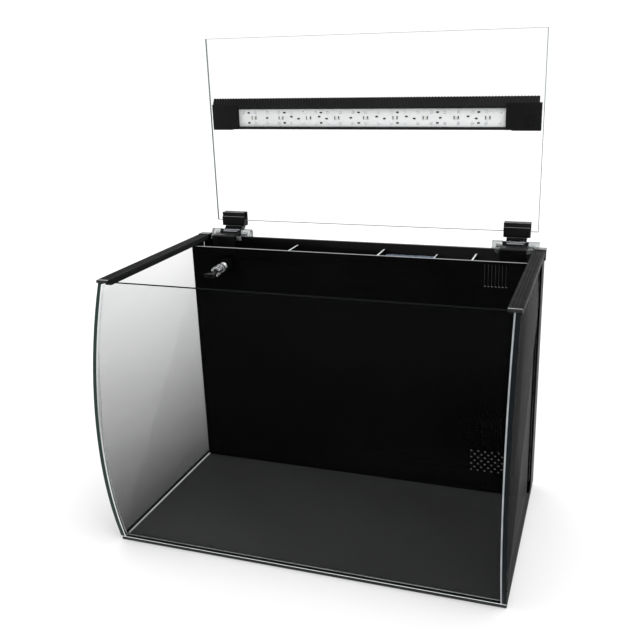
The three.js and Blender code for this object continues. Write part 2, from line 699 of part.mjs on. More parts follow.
function light() {
  piece("light_housing", lightHousing(), "housing");
  piece("light_cap_right", lightCapRight(), "cap");
  const inletZ = 619;
  const inletY = BACK + 26.4;
  const inletX = -CAP_END.left - 1.5;
  const inletWell = rod("x", 3.4, inletX - 1, inletX + 13, inletY, inletZ);
  piece("light_cap_left", cut(mirrored(lightCap(CAP_END.left, CAP_END.left)), inletWell), "cap");
  const inlet = cut(
    rod("x", 3.1, inletX, inletX + 12, inletY, inletZ),
    rod("x", 1.9, inletX - 1, inletX + 9, inletY, inletZ, 16),
  );
  piece("light_inlet", inlet, "pump");
  const [low, high] = [CHANNEL.low + GAP, CHANNEL.high - GAP];
  const span = LIGHT.windowHalf;
  piece("light_board", box(-span, span, CHANNEL.floor - 2, CHANNEL.floor - GAP, low, high), "board");
  piece("light_lens", box(-span, span, LIGHT_FRONT + 1, LIGHT_FRONT + 2.5, low, high), "clearPlastic");
  const button = rod("y", BUTTON.radius, LIGHT_FRONT - 2.1, BACK + 26.7, BUTTON.x, BUTTON.z, 32);
  piece("light_button", button, "cap");
}

panes();
seams();
films();
compartment();
media();
pump();
riserHose();
bulkhead();
nozzle();
rails();
hinge(-1, "left");
hinge(1, "right");
lid();
light();

export default tank;
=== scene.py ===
"""The looks of the all-in-one aquarium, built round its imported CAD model. Metres, +Z up, +Y to the back."""

import math

import bmesh
import bpy
from mathutils import Matrix, Vector, noise


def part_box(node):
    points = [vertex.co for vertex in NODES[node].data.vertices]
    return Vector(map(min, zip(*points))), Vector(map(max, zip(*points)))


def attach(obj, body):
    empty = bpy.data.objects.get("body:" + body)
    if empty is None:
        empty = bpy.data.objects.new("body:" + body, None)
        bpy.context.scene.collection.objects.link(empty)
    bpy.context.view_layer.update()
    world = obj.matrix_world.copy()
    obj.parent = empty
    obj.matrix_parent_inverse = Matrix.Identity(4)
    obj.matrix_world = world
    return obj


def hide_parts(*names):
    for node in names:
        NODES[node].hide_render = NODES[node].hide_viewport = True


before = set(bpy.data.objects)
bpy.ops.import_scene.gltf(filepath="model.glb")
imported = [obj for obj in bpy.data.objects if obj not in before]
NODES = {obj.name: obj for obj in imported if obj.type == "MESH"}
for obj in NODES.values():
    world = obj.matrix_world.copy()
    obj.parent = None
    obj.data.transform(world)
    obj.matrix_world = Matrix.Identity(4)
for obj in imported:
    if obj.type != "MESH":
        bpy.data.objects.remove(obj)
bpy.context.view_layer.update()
MM = 0.001
SIDES = ("left", "right")

RIGHT = (1, 0, 0)
LEFT = (-1, 0, 0)
BACKWARD = (0, 1, 0)
FORWARD = (0, -1, 0)
UP = (0, 0, 1)
DOWN = (0, 0, -1)

# ---------------------------------------------------------------- shader tools

EDGE_RADIUS = 0.6 * MM  # how far from an edge its paler rim reaches, partly worn and partly a painted highlight


def opaque(colour):
    """A red, green and blue with full alpha; a socket is passed on."""
    return (*colour, 1.0) if isinstance(colour, tuple) else colour


def shade(colour, by):
    """A colour made paler or darker by a factor."""
    return tuple(min(1.0, c * by) for c in colour)


class Shader:
    """Adds and links the nodes of one material."""

    def __init__(self, name):
        self.material = bpy.data.materials.new(name)
        self.material.use_nodes = True
        self.nodes = self.material.node_tree.nodes
        self.links = self.material.node_tree.links
        self.nodes.clear()
        self.place = self.add("ShaderNodeTexCoord").outputs["Object"]

    def add(self, kind, inputs=None, **settings):
        node = self.nodes.new(kind)
        for key, value in settings.items():
            setattr(node, key, value)
        for key, value in (inputs or {}).items():
            if isinstance(value, bpy.types.NodeSocket):
                self.links.new(value, node.inputs[key])
            else:
                node.inputs[key].default_value = value
        return node

    def stretched(self, scale):
        return self.add("ShaderNodeMapping", {"Vector": self.place, "Scale": scale}).outputs["Vector"]

    def noise(self, scale, detail=3.0, vector=None):
        inputs = {"Vector": vector or self.place, "Scale": scale, "Detail": detail}
        return self.add("ShaderNodeTexNoise", inputs).outputs["Fac"]

    def cells(self, scale):
        inputs = {"Vector": self.place, "Scale": scale}
        return self.add("ShaderNodeTexVoronoi", inputs).outputs["Distance"]

    def ramp(self, factor, low, high, start=0.3, end=0.7):
        """A colour or a grey that runs from low to high as factor runs from start to end."""
        node = self.add("ShaderNodeValToRGB", {"Fac": factor})
        for stop, at, value in zip(node.color_ramp.elements, (start, end), (low, high)):
            stop.position = at
            stop.color = opaque(value if isinstance(value, tuple) else (value, value, value))
        return node.outputs["Color"]

    def mix(self, factor, a, b):
        """Runs from colour a to colour b as factor runs from 0 to 1."""
        inputs = {0: factor, 6: opaque(a), 7: opaque(b)}
        return self.add("ShaderNodeMix", inputs, data_type="RGBA").outputs[2]

    def maths(self, operation, a, b=0.0, c=0.0):
        return self.add("ShaderNodeMath", {0: a, 1: b, 2: c}, operation=operation).outputs[0]

    def bump(self, height, strength, distance):
        inputs = {"Height": height, "Strength": strength, "Distance": distance}
        return self.add("ShaderNodeBump", inputs).outputs["Normal"]

    def facing(self, way):
        """How squarely a face looks one way in its piece's own frame: 1 straight at it, -1 straight away."""
        normal = self.add("ShaderNodeNewGeometry").outputs["True Normal"]
        own = self.add(
            "ShaderNodeVectorTransform",
            {0: normal},
            vector_type="NORMAL",
            convert_from="WORLD",
            convert_to="OBJECT",
        ).outputs[0]
        return self.add("ShaderNodeVectorMath", {0: own, 1: way}, operation="DOT_PRODUCT").outputs["Value"]

    def edges(self):
        """1 along the piece's edges, 0 on its faces."""
        round_normal = self.add("ShaderNodeBevel", {"Radius": EDGE_RADIUS}, samples=4).outputs["Normal"]
        normal = self.add("ShaderNodeNewGeometry").outputs["True Normal"]
        dot = self.add("ShaderNodeVectorMath", {0: round_normal, 1: normal}, operation="DOT_PRODUCT")
        return self.ramp(dot.outputs["Value"], 1.0, 0.0, 0.75, 0.99)

    def split(self, vector):
        return self.add("ShaderNodeSeparateXYZ", {0: vector}).outputs

    def principled(self, inputs):
        return self.add("ShaderNodeBsdfPrincipled", inputs).outputs["BSDF"]

    def see_through(self, colour):
        return self.add("ShaderNodeBsdfTransparent", {"Color": opaque(colour)}).outputs[0]

    def blend(self, factor, first, second):
        """Runs from the first surface to the second as factor runs from 0 to 1."""
        return self.add("ShaderNodeMixShader", {0: factor, 1: first, 2: second}).outputs[0]

    def finish(self, surface):
        self.add("ShaderNodeOutputMaterial", {"Surface": surface})
        return self.material


# ---------------------------------------------------------------- materials

# How much of the bright studio a pane mirrors
MIRRORED = 0.02  # the front pane, the lid and the light's window
MIRRORED_LEFT = 0.03
MIRRORED_RIGHT = 0.09

GLASS_SHEEN = 0.04  # what clear glass mirrors where it is seen square on
FOOT_SHADE_TOP = 0.42  # the height where the painted shade at a pane's foot has faded to the tint of its top
SQUARELY = 0.6  # a face that looks one way more squarely than this counts as looking there
BEAD_REAR = -164.5 * MM  # just behind the silicone bead along the front pane's foot
LEFT_SEAM_MILKY = 130 * MM  # up to here the left front joint is milky
SEAM_FADE = 100 * MM  # the height over which it then clears


def plastic(
    name,
    colour,
    roughness,
    grain=1400.0,
    relief=0.25,
    edge_wear_and_sheen=1.7,
    specular=0.5,
    streak=(1, 1, 1),
    top_highlight=1.0,
    metallic=0.0,
):
    """Moulded plastic: blotchy colour, a fine pebbled skin, edges paler from rubbing and a painted highlight,
    a painted highlight on faces that look straight up, and uneven gloss.

    grain, streak and relief are the skin's fineness, stretch and depth. edge_wear_and_sheen is how much paler
    the edges are, worn by rubbing and painted as a highlight, and top_highlight how much paler, as a painted
    highlight, the faces are that look straight up.
    """
    s = Shader(name)
    clean = s.ramp(s.noise(22.0), shade(colour, 0.82), shade(colour, 1.2))
    up = s.split(s.add("ShaderNodeNewGeometry").outputs["True Normal"])["Z"]
    # painted highlight: faces that look straight up in the world are made paler, as if lit from above
    body = s.mix(s.ramp(up, 0.0, 1.0, 0.89, 0.93), clean, shade(colour, top_highlight))
    # the paler edges are partly worn by rubbing and partly a painted highlight
    worn_and_sheen_mask = s.maths("MULTIPLY", s.edges(), s.ramp(s.noise(160.0), 0.15, 0.8))
    grain_height = s.noise(grain, 2.0, s.stretched(streak))
    surface = s.principled(
        {
            "Base Color": s.mix(worn_and_sheen_mask, body, shade(colour, edge_wear_and_sheen)),
            "Roughness": s.ramp(s.noise(60.0, 4.0), roughness * 0.85, min(1.0, roughness * 1.25)),
            "Specular IOR Level": specular,
            "Metallic": metallic,
            "Normal": s.bump(grain_height, relief, 0.15 * MM),
        }
    )
    return s.finish(surface)


def metal(name, colour, roughness):
    """Turned metal, with fine lines round it."""
    s = Shader(name)
    lines = s.noise(500.0, 2.0, s.stretched((1, 40, 40)))
    surface = s.principled(
        {
            "Base Color": s.ramp(s.noise(80.0), shade(colour, 0.85), shade(colour, 1.1)),
            "Metallic": 1.0,
            "Roughness": s.ramp(lines, roughness * 0.7, roughness * 1.4),
            "Normal": s.bump(lines, 0.15, 0.05 * MM),
        }
    )
    return s.finish(surface)


def sawn_acrylic(name, face_axis, edge):
    """Black sheet acrylic: polished faces with faint wipe marks, and pale sawn edges and slots; sawn faces
    that look up are painted paler still as a highlight, the rest darker as shade.

    face_axis is square to the sheet, so every face that doesn't look along it was sawn.
    """
    s = Shader(name)
    cut = s.maths("LESS_THAN", s.maths("ABSOLUTE", s.facing(face_axis)), SQUARELY)
    saw_marks = s.noise(900.0, 3.0, s.stretched((1, 1, 0.05)))
    # painted light: sawn faces that look up are paler, a painted highlight, and the other sawn faces darker,
    # painted shade
    top = s.maths("GREATER_THAN", s.facing(UP), SQUARELY)
    sawn = s.mix(
        top,
        s.ramp(saw_marks, shade(edge, 0.2), shade(edge, 0.35)),
        s.ramp(saw_marks, shade(edge, 0.7), shade(edge, 1.25)),
    )
    face = s.ramp(s.noise(9.0), (0.0012, 0.0012, 0.0013), (0.0022, 0.0022, 0.0024))
    wipes = s.noise(30.0, 5.0, s.stretched((0.4, 1, 3)))
    surface = s.principled(
        {
            "Base Color": s.mix(cut, face, sawn),
            "Roughness": s.mix(cut, s.ramp(wipes, 0.16, 0.3), (0.45, 0.45, 0.45)),
            "Specular IOR Level": 0.012,
            "Normal": s.bump(saw_marks, 0.05, 0.05 * MM),
        }
    )
    return s.finish(surface)


def pane(name, edge_ways, edge, mirrored, low=0.985, high=0.985, rim_gloss=0.05, rim_from=0.75):
    """Float glass: faces that pass light straight on and mirror more aslant, and sawn edges, which don't.

    edge_ways are where its sawn edges look; a foot that stands on silicone is left clear. edge is their
    colour and rim_gloss their gloss, and rim_from is how squarely a face looks one of those ways before it
    counts as sawn. mirrored is how much of the room the faces mirror. low and high are how much light the
    glass passes at its foot and at FOOT_SHADE_TOP; a low under high darkens the foot, which is painted shade.
    """
    s = Shader(name)
    square_on = s.facing(edge_ways[0])
    for way in edge_ways[1:]:
        square_on = s.maths("MAXIMUM", square_on, s.facing(way))
    sawn = s.maths("GREATER_THAN", square_on, rim_from)
    aslant = s.add("ShaderNodeLayerWeight", {"Blend": 0.5}).outputs["Facing"]
    mirror = s.maths("MULTIPLY_ADD", s.maths("POWER", aslant, 5.0), 1 - GLASS_SHEEN, GLASS_SHEEN)
    # painted shade: the glass passes less light towards its foot, which darkens what is seen through it
    height = s.maths("DIVIDE", s.split(s.place)["Z"], FOOT_SHADE_TOP)
    foot_shade_height = s.maths("ADD", height, s.maths("MULTIPLY", s.noise(5.0), 0.04))
    tint = s.ramp(foot_shade_height, (low, low, low * 0.998), (high * 0.997, high, high * 0.999), 0.0, 1.0)
    through = s.add("ShaderNodeBsdfTransparent", {"Color": tint}).outputs[0]
    smears = s.ramp(s.noise(26.0, 6.0), 0.004, 0.05, 0.5, 0.8)
    reflection = {"Color": opaque((mirrored, mirrored, mirrored)), "Roughness": smears}
    glass = s.blend(mirror, through, s.add("ShaderNodeBsdfGlossy", reflection).outputs[0])
    ground = s.noise(700.0, 3.0)
    rim = s.principled(
        {
            "Base Color": s.ramp(ground, shade(edge, 0.75), shade(edge, 1.3)),
            "Roughness": s.ramp(ground, 0.12, 0.3),
            "Specular IOR Level": rim_gloss,
            "Normal": s.bump(ground, 0.08, 0.05 * MM),
        }
    )
    return s.finish(s.blend(sawn, glass, rim))


def clear_plastic(name, tint, roughness=0.05):
    """Clear moulded plastic, a little wavy, painted dark where it is seen edge on as shade, that lamps shine
    through.
    """
    s = Shader(name)
    aslant = s.add("ShaderNodeLayerWeight", {"Blend": 0.5}).outputs["Facing"]
    body = s.ramp(s.noise(200.0), shade(tint, 0.95), tint)
    surface = s.principled(
        {
            # painted shade: the colour darkens towards black where the surface is seen edge on
            "Base Color": s.mix(s.ramp(aslant, 0.0, 1.0, 0.45, 0.9), body, shade(tint, 0.05)),
            "Roughness": s.ramp(s.noise(300.0), roughness, roughness * 2.5),
            "Transmission Weight": 0.9,
            "IOR": 1.49,
            "Normal": s.bump(s.noise(250.0), 0.1, 0.3 * MM),
        }
    )
    lamp = s.add("ShaderNodeLightPath").outputs["Is Shadow Ray"]
    return s.finish(s.blend(lamp, surface, s.see_through(shade(tint, 0.96))))


def silicone(name, low, high, bonded=None, milky_below=None, clear_run=None):
    """Cured clear silicone: milky, tooled by a finger, with the odd bubble.

    bonded is the axis along which its faces lie against glass, where it can't be seen. It clears above
    milky_below, and from clear_run forwards its top is clear.
    """
    s = Shader(name)
    bubbles = s.ramp(s.cells(260.0), 0.0, 1.0, 0.05, 0.16)
    milky = s.principled(
        {
            "Base Color": s.ramp(s.noise(60.0), low, high),
            "Roughness": s.ramp(s.noise(90.0), 0.22, 0.42),
            "Normal": s.bump(s.maths("MULTIPLY", bubbles, s.noise(120.0)), 0.35, 0.4 * MM),
        }
    )
    place = s.split(s.place)
    unseen = 0.0
    if bonded:
        unseen = s.maths("GREATER_THAN", s.maths("ABSOLUTE", s.facing(bonded)), SQUARELY)
    if milky_below:
        clearing = s.ramp(place["Z"], 0.0, 1.0, milky_below, milky_below + SEAM_FADE)
        unseen = s.maths("MAXIMUM", unseen, clearing)
    if clear_run:
        ahead = s.maths("LESS_THAN", place["Y"], clear_run)
        top = s.maths("GREATER_THAN", s.facing(UP), SQUARELY)
        unseen = s.maths("MAXIMUM", unseen, s.maths("MULTIPLY", ahead, top))
    return s.finish(s.blend(unseen, milky, s.see_through((0.97, 0.98, 0.98))))


def painted_glass(name, low, high, roughness, specular):
    """Glass painted on its far side: flat colour, a polished face with faint wipe marks, and pale arrises
    that are partly ground glass and partly a painted highlight.
    """
    s = Shader(name)
    paint = s.ramp(s.noise(6.0, 4.0), low, high)
    surface = s.principled(
        {
            # the paler edges are partly ground arrises and partly a painted highlight
            "Base Color": s.mix(s.edges(), paint, shade(high, 5.0)),
            "Roughness": s.ramp(s.noise(18.0, 6.0), roughness * 0.85, roughness * 1.15),
            "Specular IOR Level": specular,
        }
    )
    return s.finish(surface)


def foam():
    """Open-cell filter foam: blue-black struts round dark pores."""
    s = Shader("filter_foam")
    pores = s.cells(420.0)
    colour = s.ramp(pores, (0.006, 0.008, 0.012), (0.10, 0.14, 0.22), 0.15, 0.75)
    flecks = s.ramp(s.noise(700.0, 2.0), 0.0, 0.7, 0.6, 0.72)
    surface = s.principled(
        {
            "Base Color": s.mix(flecks, colour, (0.32, 0.40, 0.52)),
            "Roughness": 0.95,
            "Sheen Weight": 0.2,
            "Normal": s.bump(pores, 0.9, 1.2 * MM),
        }
    )
    return s.finish(surface)


def netting():
    """A nylon net bag over dark granules."""
    s = Shader("media_net")
    weave = []
    for axis in "XYZ":
        wave = s.add(
            "ShaderNodeTexWave",
            {"Vector": s.place, "Scale": 95.0, "Distortion": 0.6},
            wave_type="BANDS",
            bands_direction=axis,
        )
        weave.append(s.ramp(wave.outputs["Fac"], 0.0, 1.0, 0.72, 0.9))
    threads = s.maths("MAXIMUM", s.maths("MAXIMUM", weave[0], weave[1]), weave[2])
    granules = s.cells(330.0)
    grit = s.ramp(granules, (0.012, 0.016, 0.013), (0.05, 0.065, 0.05), 0.1, 0.6)
    height = s.maths("ADD", s.maths("MULTIPLY", granules, -0.6), s.maths("MULTIPLY", threads, 0.5))
    surface = s.principled(
        {
            "Base Color": s.mix(threads, grit, (0.08, 0.10, 0.085)),
            "Roughness": s.ramp(granules, 0.55, 0.95),
            "Normal": s.bump(height, 0.8, 0.8 * MM),
        }
    )
    return s.finish(surface)


def circuit_board():
    """White solder mask over faint copper tracks."""
    s = Shader("circuit_board")
    white = (1, 1, 1, 1)
    tracks = s.add(
        "ShaderNodeTexBrick",
        {
            "Vector": s.place,
            "Scale": 60.0,
            "Mortar Size": 0.012,
            "Color1": white,
            "Color2": white,
            "Mortar": (0, 0, 0, 1),
        },
    ).outputs["Color"]
    surface = s.principled(
        {
            "Base Color": s.mix(s.noise(35.0), (0.90, 0.905, 0.91), (0.96, 0.965, 0.97)),
            "Roughness": s.ramp(s.noise(240.0), 0.3, 0.5),
            "Normal": s.bump(tracks, 0.12, 0.1 * MM),
        }
    )
    return s.finish(surface)


CAP_BLACK = (0.010, 0.0102, 0.0105)
HINGE_BLACK = (0.0035, 0.0036, 0.0038)
DEEP_BLACK = (0.005, 0.0052, 0.0055)


def black_plastics():
    """The rails, caps, hinges, light and pump, which differ in depth, gloss, worn edges and painted
    highlights.
    """
    return {
        "rail": plastic(
            "rail_plastic",
            (0.016, 0.0163, 0.0168),
            0.42,
            grain=900.0,
            streak=(1, 0.04, 1),
            edge_wear_and_sheen=1.2,
            specular=0.01,
        ),
        # front_cap and arm are the cap and hinge blacks again with a strong painted highlight on their
        # up-facing faces; cap and hinge carry a weak one
        "cap": plastic("gloss_cap", CAP_BLACK, 0.16, 1500.0, 0.12, specular=0.2, top_highlight=7.0),
        "front_cap": plastic("front_cap", CAP_BLACK, 0.16, 1500.0, 0.12, specular=0.2, top_highlight=38.0),
        "bar_cap": plastic("bar_cap", (0.0055, 0.0056, 0.0058), 0.45, 1200.0, edge_wear_and_sheen=1.8, specular=0.06),
        "button": plastic("button", DEEP_BLACK, 0.3, 1500.0, edge_wear_and_sheen=5.0, specular=0.05),
        "hinge": plastic("hinge_plastic", HINGE_BLACK, 0.22, relief=0.2, edge_wear_and_sheen=5.0, specular=0.04, top_highlight=7.0),
        "arm": plastic("arm_plastic", HINGE_BLACK, 0.22, relief=0.2, edge_wear_and_sheen=5.0, specular=0.05, top_highlight=85.0),
        "pump": plastic("pump_plastic", (0.003, 0.0031, 0.0034), 0.5, 1100.0, 0.4, specular=0.0),
        "fan": plastic("dark_grey_plastic", DEEP_BLACK, 0.2, 700.0, 0.12, edge_wear_and_sheen=6.0, specular=0.1),
        "film": plastic("black_film", DEEP_BLACK, 0.4, 500.0, 0.12, specular=0.04),
        "anodised": plastic(
            "black_anodised", (0.0085, 0.0086, 0.009), 0.38, 2200.0, streak=(0.03, 1, 1), specular=0.10
        ),
        "resistor": plastic("resistor", (0.003, 0.003, 0.0032), 0.3, 2500.0, specular=0.2),
    }


def pale_parts():
    """The nozzle's link, the steel, and the light's lenses and chips."""
    return {
        "link": plastic("grey_plastic", (0.40, 0.41, 0.42), 0.2, 700.0, 0.12, edge_wear_and_sheen=1.6, metallic=0.9),
        "steel": metal("stainless_steel", (0.62, 0.63, 0.64), 0.22),
        "lens": plastic("led_lens", (0.80, 0.82, 0.83), 0.12, 2500.0, edge_wear_and_sheen=1.2),
        "chip": plastic("led_package", (0.86, 0.85, 0.80), 0.35, 2500.0, edge_wear_and_sheen=1.1),
        "board": circuit_board(),
    }


def panes():
    """Clear and painted glass, and the light's window, which is as clear."""
    front_back_top = (FORWARD, BACKWARD, UP)
    all_round = (LEFT, RIGHT, UP, DOWN)
    return {
        # The front and right panes' edges are painted near black as shade, darker than the left pane's edges
        # of the same glass.
        "front": pane("front_pane", (UP,), (0.008, 0.009, 0.009), MIRRORED, rim_gloss=0.0),
        # The side panes pass less light at their feet (0.38 and 0.62 against 0.95 and 0.92): painted shade.
        "left": pane("left_pane", front_back_top, (0.020, 0.034, 0.030), MIRRORED_LEFT, 0.38, 0.95),
        "right": pane("right_pane", front_back_top, (0.005, 0.007, 0.008), MIRRORED_RIGHT, 0.62, 0.92),
        "lid": pane("lid_pane", all_round, (0.25, 0.29, 0.28), MIRRORED, 0.998, 0.998, rim_from=0.3),
        "window": pane("light_window", (UP, DOWN), (0.5, 0.52, 0.52), MIRRORED, 0.995, 0.995),
        "base": painted_glass("base_pane", (0.028, 0.0285, 0.029), (0.031, 0.0315, 0.032), 0.45, 0.03),
        "back": painted_glass("back_pane", (0.002, 0.002, 0.0022), (0.004, 0.004, 0.0043), 0.2, 0.06),
    }


def joints_and_walls():
    """The silicone, the black acrylic of the filter, its media, and the clear mouldings."""
    return {
        "silicone": silicone("silicone", (0.80, 0.84, 0.84), (0.95, 0.97, 0.97), clear_run=BEAD_REAR),
        # The front corner joints are the base bead's silicone painted greyer on the left and much darker on
        # the right, as shade.
        "left_seam": silicone(
            "left_silicone_shaded", (0.62, 0.65, 0.65), (0.78, 0.81, 0.81), RIGHT, milky_below=LEFT_SEAM_MILKY
        ),
        "right_seam": silicone("right_silicone_shaded", (0.26, 0.28, 0.29), (0.36, 0.38, 0.39), RIGHT),
        # the weir's and dividers' pale sawn edge colours are partly a painted highlight along their tops
        "weir": sawn_acrylic("weir_acrylic", FORWARD, (0.36, 0.37, 0.38)),
        "shelf": sawn_acrylic("shelf_acrylic", UP, (0.10, 0.105, 0.11)),
        "divider": sawn_acrylic("divider_acrylic", RIGHT, (0.62, 0.64, 0.65)),
        "clear": clear_plastic("clear_plastic", (0.50, 0.52, 0.52)),
        "hose": clear_plastic("vinyl_hose", (0.80, 0.83, 0.82), 0.16),
        "foam": foam(),
        "net": netting(),
    }


LOOKS = {**black_plastics(), **pale_parts(), **panes(), **joints_and_walls()}


def both(*stems):
    """The left and right nodes of each stem."""
    return [f"{stem}_{side}" for stem in stems for side in SIDES]


CAD_LOOKS = {
    "base": ["bottom_glass"],
    "front": ["front_glass"],
    "left": ["left_glass"],
    "right": ["right_glass"],
    "lid": ["lid_glass"],
    "back": ["back_glass"],
    "weir": ["weir_panel"],
    "shelf": ["shelf_sponge", "shelf_media"],
    "divider": ["divider_pump", "divider_heater", "divider_intake", "divider_short"],
    "silicone": ["seam_base"],
    "left_seam": ["seam_front_left"],
    "right_seam": ["seam_front_right"],
    "film": both("film"),
    "rail": both("rail"),
    "front_cap": both("rail_front_cap"),
    "cap": both("rail_rear_cap"),
    "bar_cap": both("light_cap"),
    "button": ["light_button"],
    "hinge": both("hinge_saddle", "hinge_thumbscrew"),
    "arm": both("hinge_arm", "hinge_jaw"),
    "clear": both("hinge_liner") + [f"{cap}_{end}" for cap in both("hinge_cap") for end in "ab"],
    "window": ["light_lens"],
    "steel": both("hinge_pin", "hinge_screw") + ["pump_shaft"],
    "pump": ["pump_body", "pump_strainer", "light_inlet", "nozzle_bulkhead", "nozzle_nut"],
    "hose": ["riser_hose"],
    "link": ["nozzle_link", "pump_rotor"],
    "fan": ["nozzle_fan"],
    "anodised": ["light_housing"],
    "board": ["light_board"],
}

# How far each look's edges are rounded, in mm; the rest have FINE_EDGE
EDGE_WIDTHS = {
    "rail": 0.35,
    "front_cap": 0.5,
    "cap": 0.5,
    "bar_cap": 0.4,
    "hinge": 0.5,
    "arm": 0.5,
    "pump": 0.8,
    "link": 0.35,
    "fan": 0.35,
    "button": 0.4,
    "clear": 0.4,
    "anodised": 0.3,
    "front": 0.5,
    "left": 0.5,
    "right": 0.5,
    "lid": 1.0,
    "base": 0.5,
}
FINE_EDGE = 0.15
SHARP_ANGLE = 28  # degrees; a shallower fold is a facet of a round face


def soften(piece, width):
    """Joins a faceted mesh and rounds its edges, so that its round faces shade smoothly."""
    weld = piece.modifiers.new("weld", "WELD")
    weld.merge_threshold = 0.01 * MM
    bevel = piece.modifiers.new("soft_edges", "BEVEL")
    bevel.width = width
    bevel.segments = 2
    bevel.limit_method = "ANGLE"
    bevel.angle_limit = math.radians(SHARP_ANGLE)
    bevel.harden_normals = True
    bevel.use_clamp_overlap = True


def look_after_cad():
    """Gives each CAD node its material, softened edges and smooth round faces."""
    for look, names in CAD_LOOKS.items():
        for name in names:
            piece = NODES[name]
            piece.data.materials.clear()
            piece.data.materials.append(LOOKS[look])
            piece.data.polygons.foreach_set("use_smooth", [True] * len(piece.data.polygons))
            soften(piece, EDGE_WIDTHS.get(look, FINE_EDGE) * MM)


# ---------------------------------------------------------------- stage

VIEW_PLACE = (0.3946, -1.1214, 0.7233)
VIEW_TURN = 18.914  # degrees to the left of straight back
VIEW_DIP = 17.921  # degrees under level
VIEW_ROLL = -1.597
SENSOR = 36.0
FOCAL_LENGTH = 45.88
VIEW_SHIFT = (-0.0274, -0.0061)
NEAREST = 0.05

FLOOR_HALF = 9.0
SKY_STRENGTH = 1.12
LAMP_STRENGTH = 1.1
LAMP_SPREAD = 50  # degrees
LAMP_AIM = (-0.45, 0.35, -1.0)


def camera():
    """The viewing angle, from the camera's place, turn, dip and roll."""
    yaw, dip, roll = (math.radians(a) for a in (VIEW_TURN, VIEW_DIP, VIEW_ROLL))
    forward = Vector((-math.sin(yaw) * math.cos(dip), math.cos(yaw) * math.cos(dip), -math.sin(dip)))
    level = forward.cross(Vector(UP)).normalized()
    upright = level.cross(forward)
    right = math.cos(roll) * level + math.sin(roll) * upright
    up = -math.sin(roll) * level + math.cos(roll) * upright
    data = bpy.data.cameras.new("camera")
    data.sensor_width = SENSOR
    data.lens = FOCAL_LENGTH
    data.shift_x, data.shift_y = VIEW_SHIFT
    data.clip_start = NEAREST
    view = bpy.data.objects.new("camera", data)
    turn = Matrix((right, up, -forward)).transposed().to_4x4()
    view.matrix_world = Matrix.Translation(VIEW_PLACE) @ turn
    bpy.context.scene.collection.objects.link(view)
    bpy.context.scene.camera = view


def pale_floor():
    """A plain pale floor, wide enough to fill the view."""
    bm = bmesh.new()
    bmesh.ops.create_grid(bm, x_segments=2, y_segments=2, size=FLOOR_HALF)
    mesh = bpy.data.meshes.new("floor")
    bm.to_mesh(mesh)
    bm.free()
    s = Shader("floor")
    surface = s.principled(
        {
            "Base Color": s.ramp(s.noise(3.0), (0.86, 0.86, 0.86), (0.88, 0.88, 0.88)),
            "Roughness": 0.9,
            "Specular IOR Level": 0.1,
        }
    )
    mesh.materials.append(s.finish(surface))
    floor = bpy.data.objects.new("floor", mesh)
    bpy.context.scene.collection.objects.link(floor)


def studio_light():
    """An even white sky, with one broad soft lamp high on the right in front."""
    world = bpy.data.worlds.new("studio")
    world.use_nodes = True
    background = world.node_tree.nodes["Background"]
    background.inputs["Color"].default_value = (1, 1, 1, 1)
    background.inputs["Strength"].default_value = SKY_STRENGTH
    bpy.context.scene.world = world

    lamp = bpy.data.lights.new("sky_light", "SUN")
    lamp.energy = LAMP_STRENGTH
    lamp.angle = math.radians(LAMP_SPREAD)
    holder = bpy.data.objects.new("sky_light", lamp)
    holder.matrix_world = Vector(LAMP_AIM).to_track_quat("-Z", "Y").to_matrix().to_4x4()
    bpy.context.scene.collection.objects.link(holder)
    bpy.context.scene.view_settings.view_transform = "Standard"


# ---------------------------------------------------------------- pieces


def add_piece(name, bm, material, body, smooth=True):
    """A finished bmesh as a piece that rides on a body."""
    bmesh.ops.recalc_face_normals(bm, faces=bm.faces)
    mesh = bpy.data.meshes.new(name)
    bm.to_mesh(mesh)
    bm.free()
    mesh.materials.append(material)
    mesh.polygons.foreach_set("use_smooth", [smooth] * len(mesh.polygons))
    piece = bpy.data.objects.new(name, mesh)
    bpy.context.scene.collection.objects.link(piece)
    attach(piece, body)
    return piece


def block_of(name, corner_radius, rows, relief, scale):
    """A closed, soft-edged block in a CAD node's box, with its skin moved inwards by noise.

    rows is how finely its skin is divided, relief the deepest dent, and scale the dents' fineness.
    """
    low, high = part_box(name)
    middle = (low + high) / 2
    half = (high - low) / 2
    bm = bmesh.new()
    bmesh.ops.create_cube(bm, size=2.0)
    bmesh.ops.subdivide_edges(bm, edges=bm.edges, cuts=rows, use_grid_fill=True)
    for vertex in bm.verts:
        spot = Vector(vertex.co[i] * half[i] for i in range(3))
        core = Vector(max(-half[i] + corner_radius, min(half[i] - corner_radius, spot[i])) for i in range(3))
        outward = (spot - core).normalized()
        if outward.length > 0:
            spot = core + outward * corner_radius
        dent = 0.5 + 0.5 * noise.noise((spot + middle) * scale)
        vertex.co = middle + spot - outward * dent * relief
    return bm


SPONGE_SKIN = {"corner_radius": 3 * MM, "rows": 44, "relief": 1.6 * MM, "scale": 320}
BAG_SKIN = {"corner_radius": 9 * MM, "rows": 40, "relief": 3.5 * MM, "scale": 110}


def filter_media():
    """The sponge and the bag of granules in their chambers."""
    sponge = add_piece("sponge_foam", block_of("sponge", **SPONGE_SKIN), LOOKS["foam"], "tank")
    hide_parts("sponge")
    bag = add_piece("media_net_bag", block_of("media_bag", **BAG_SKIN), LOOKS["net"], "tank")
    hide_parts("media_bag")


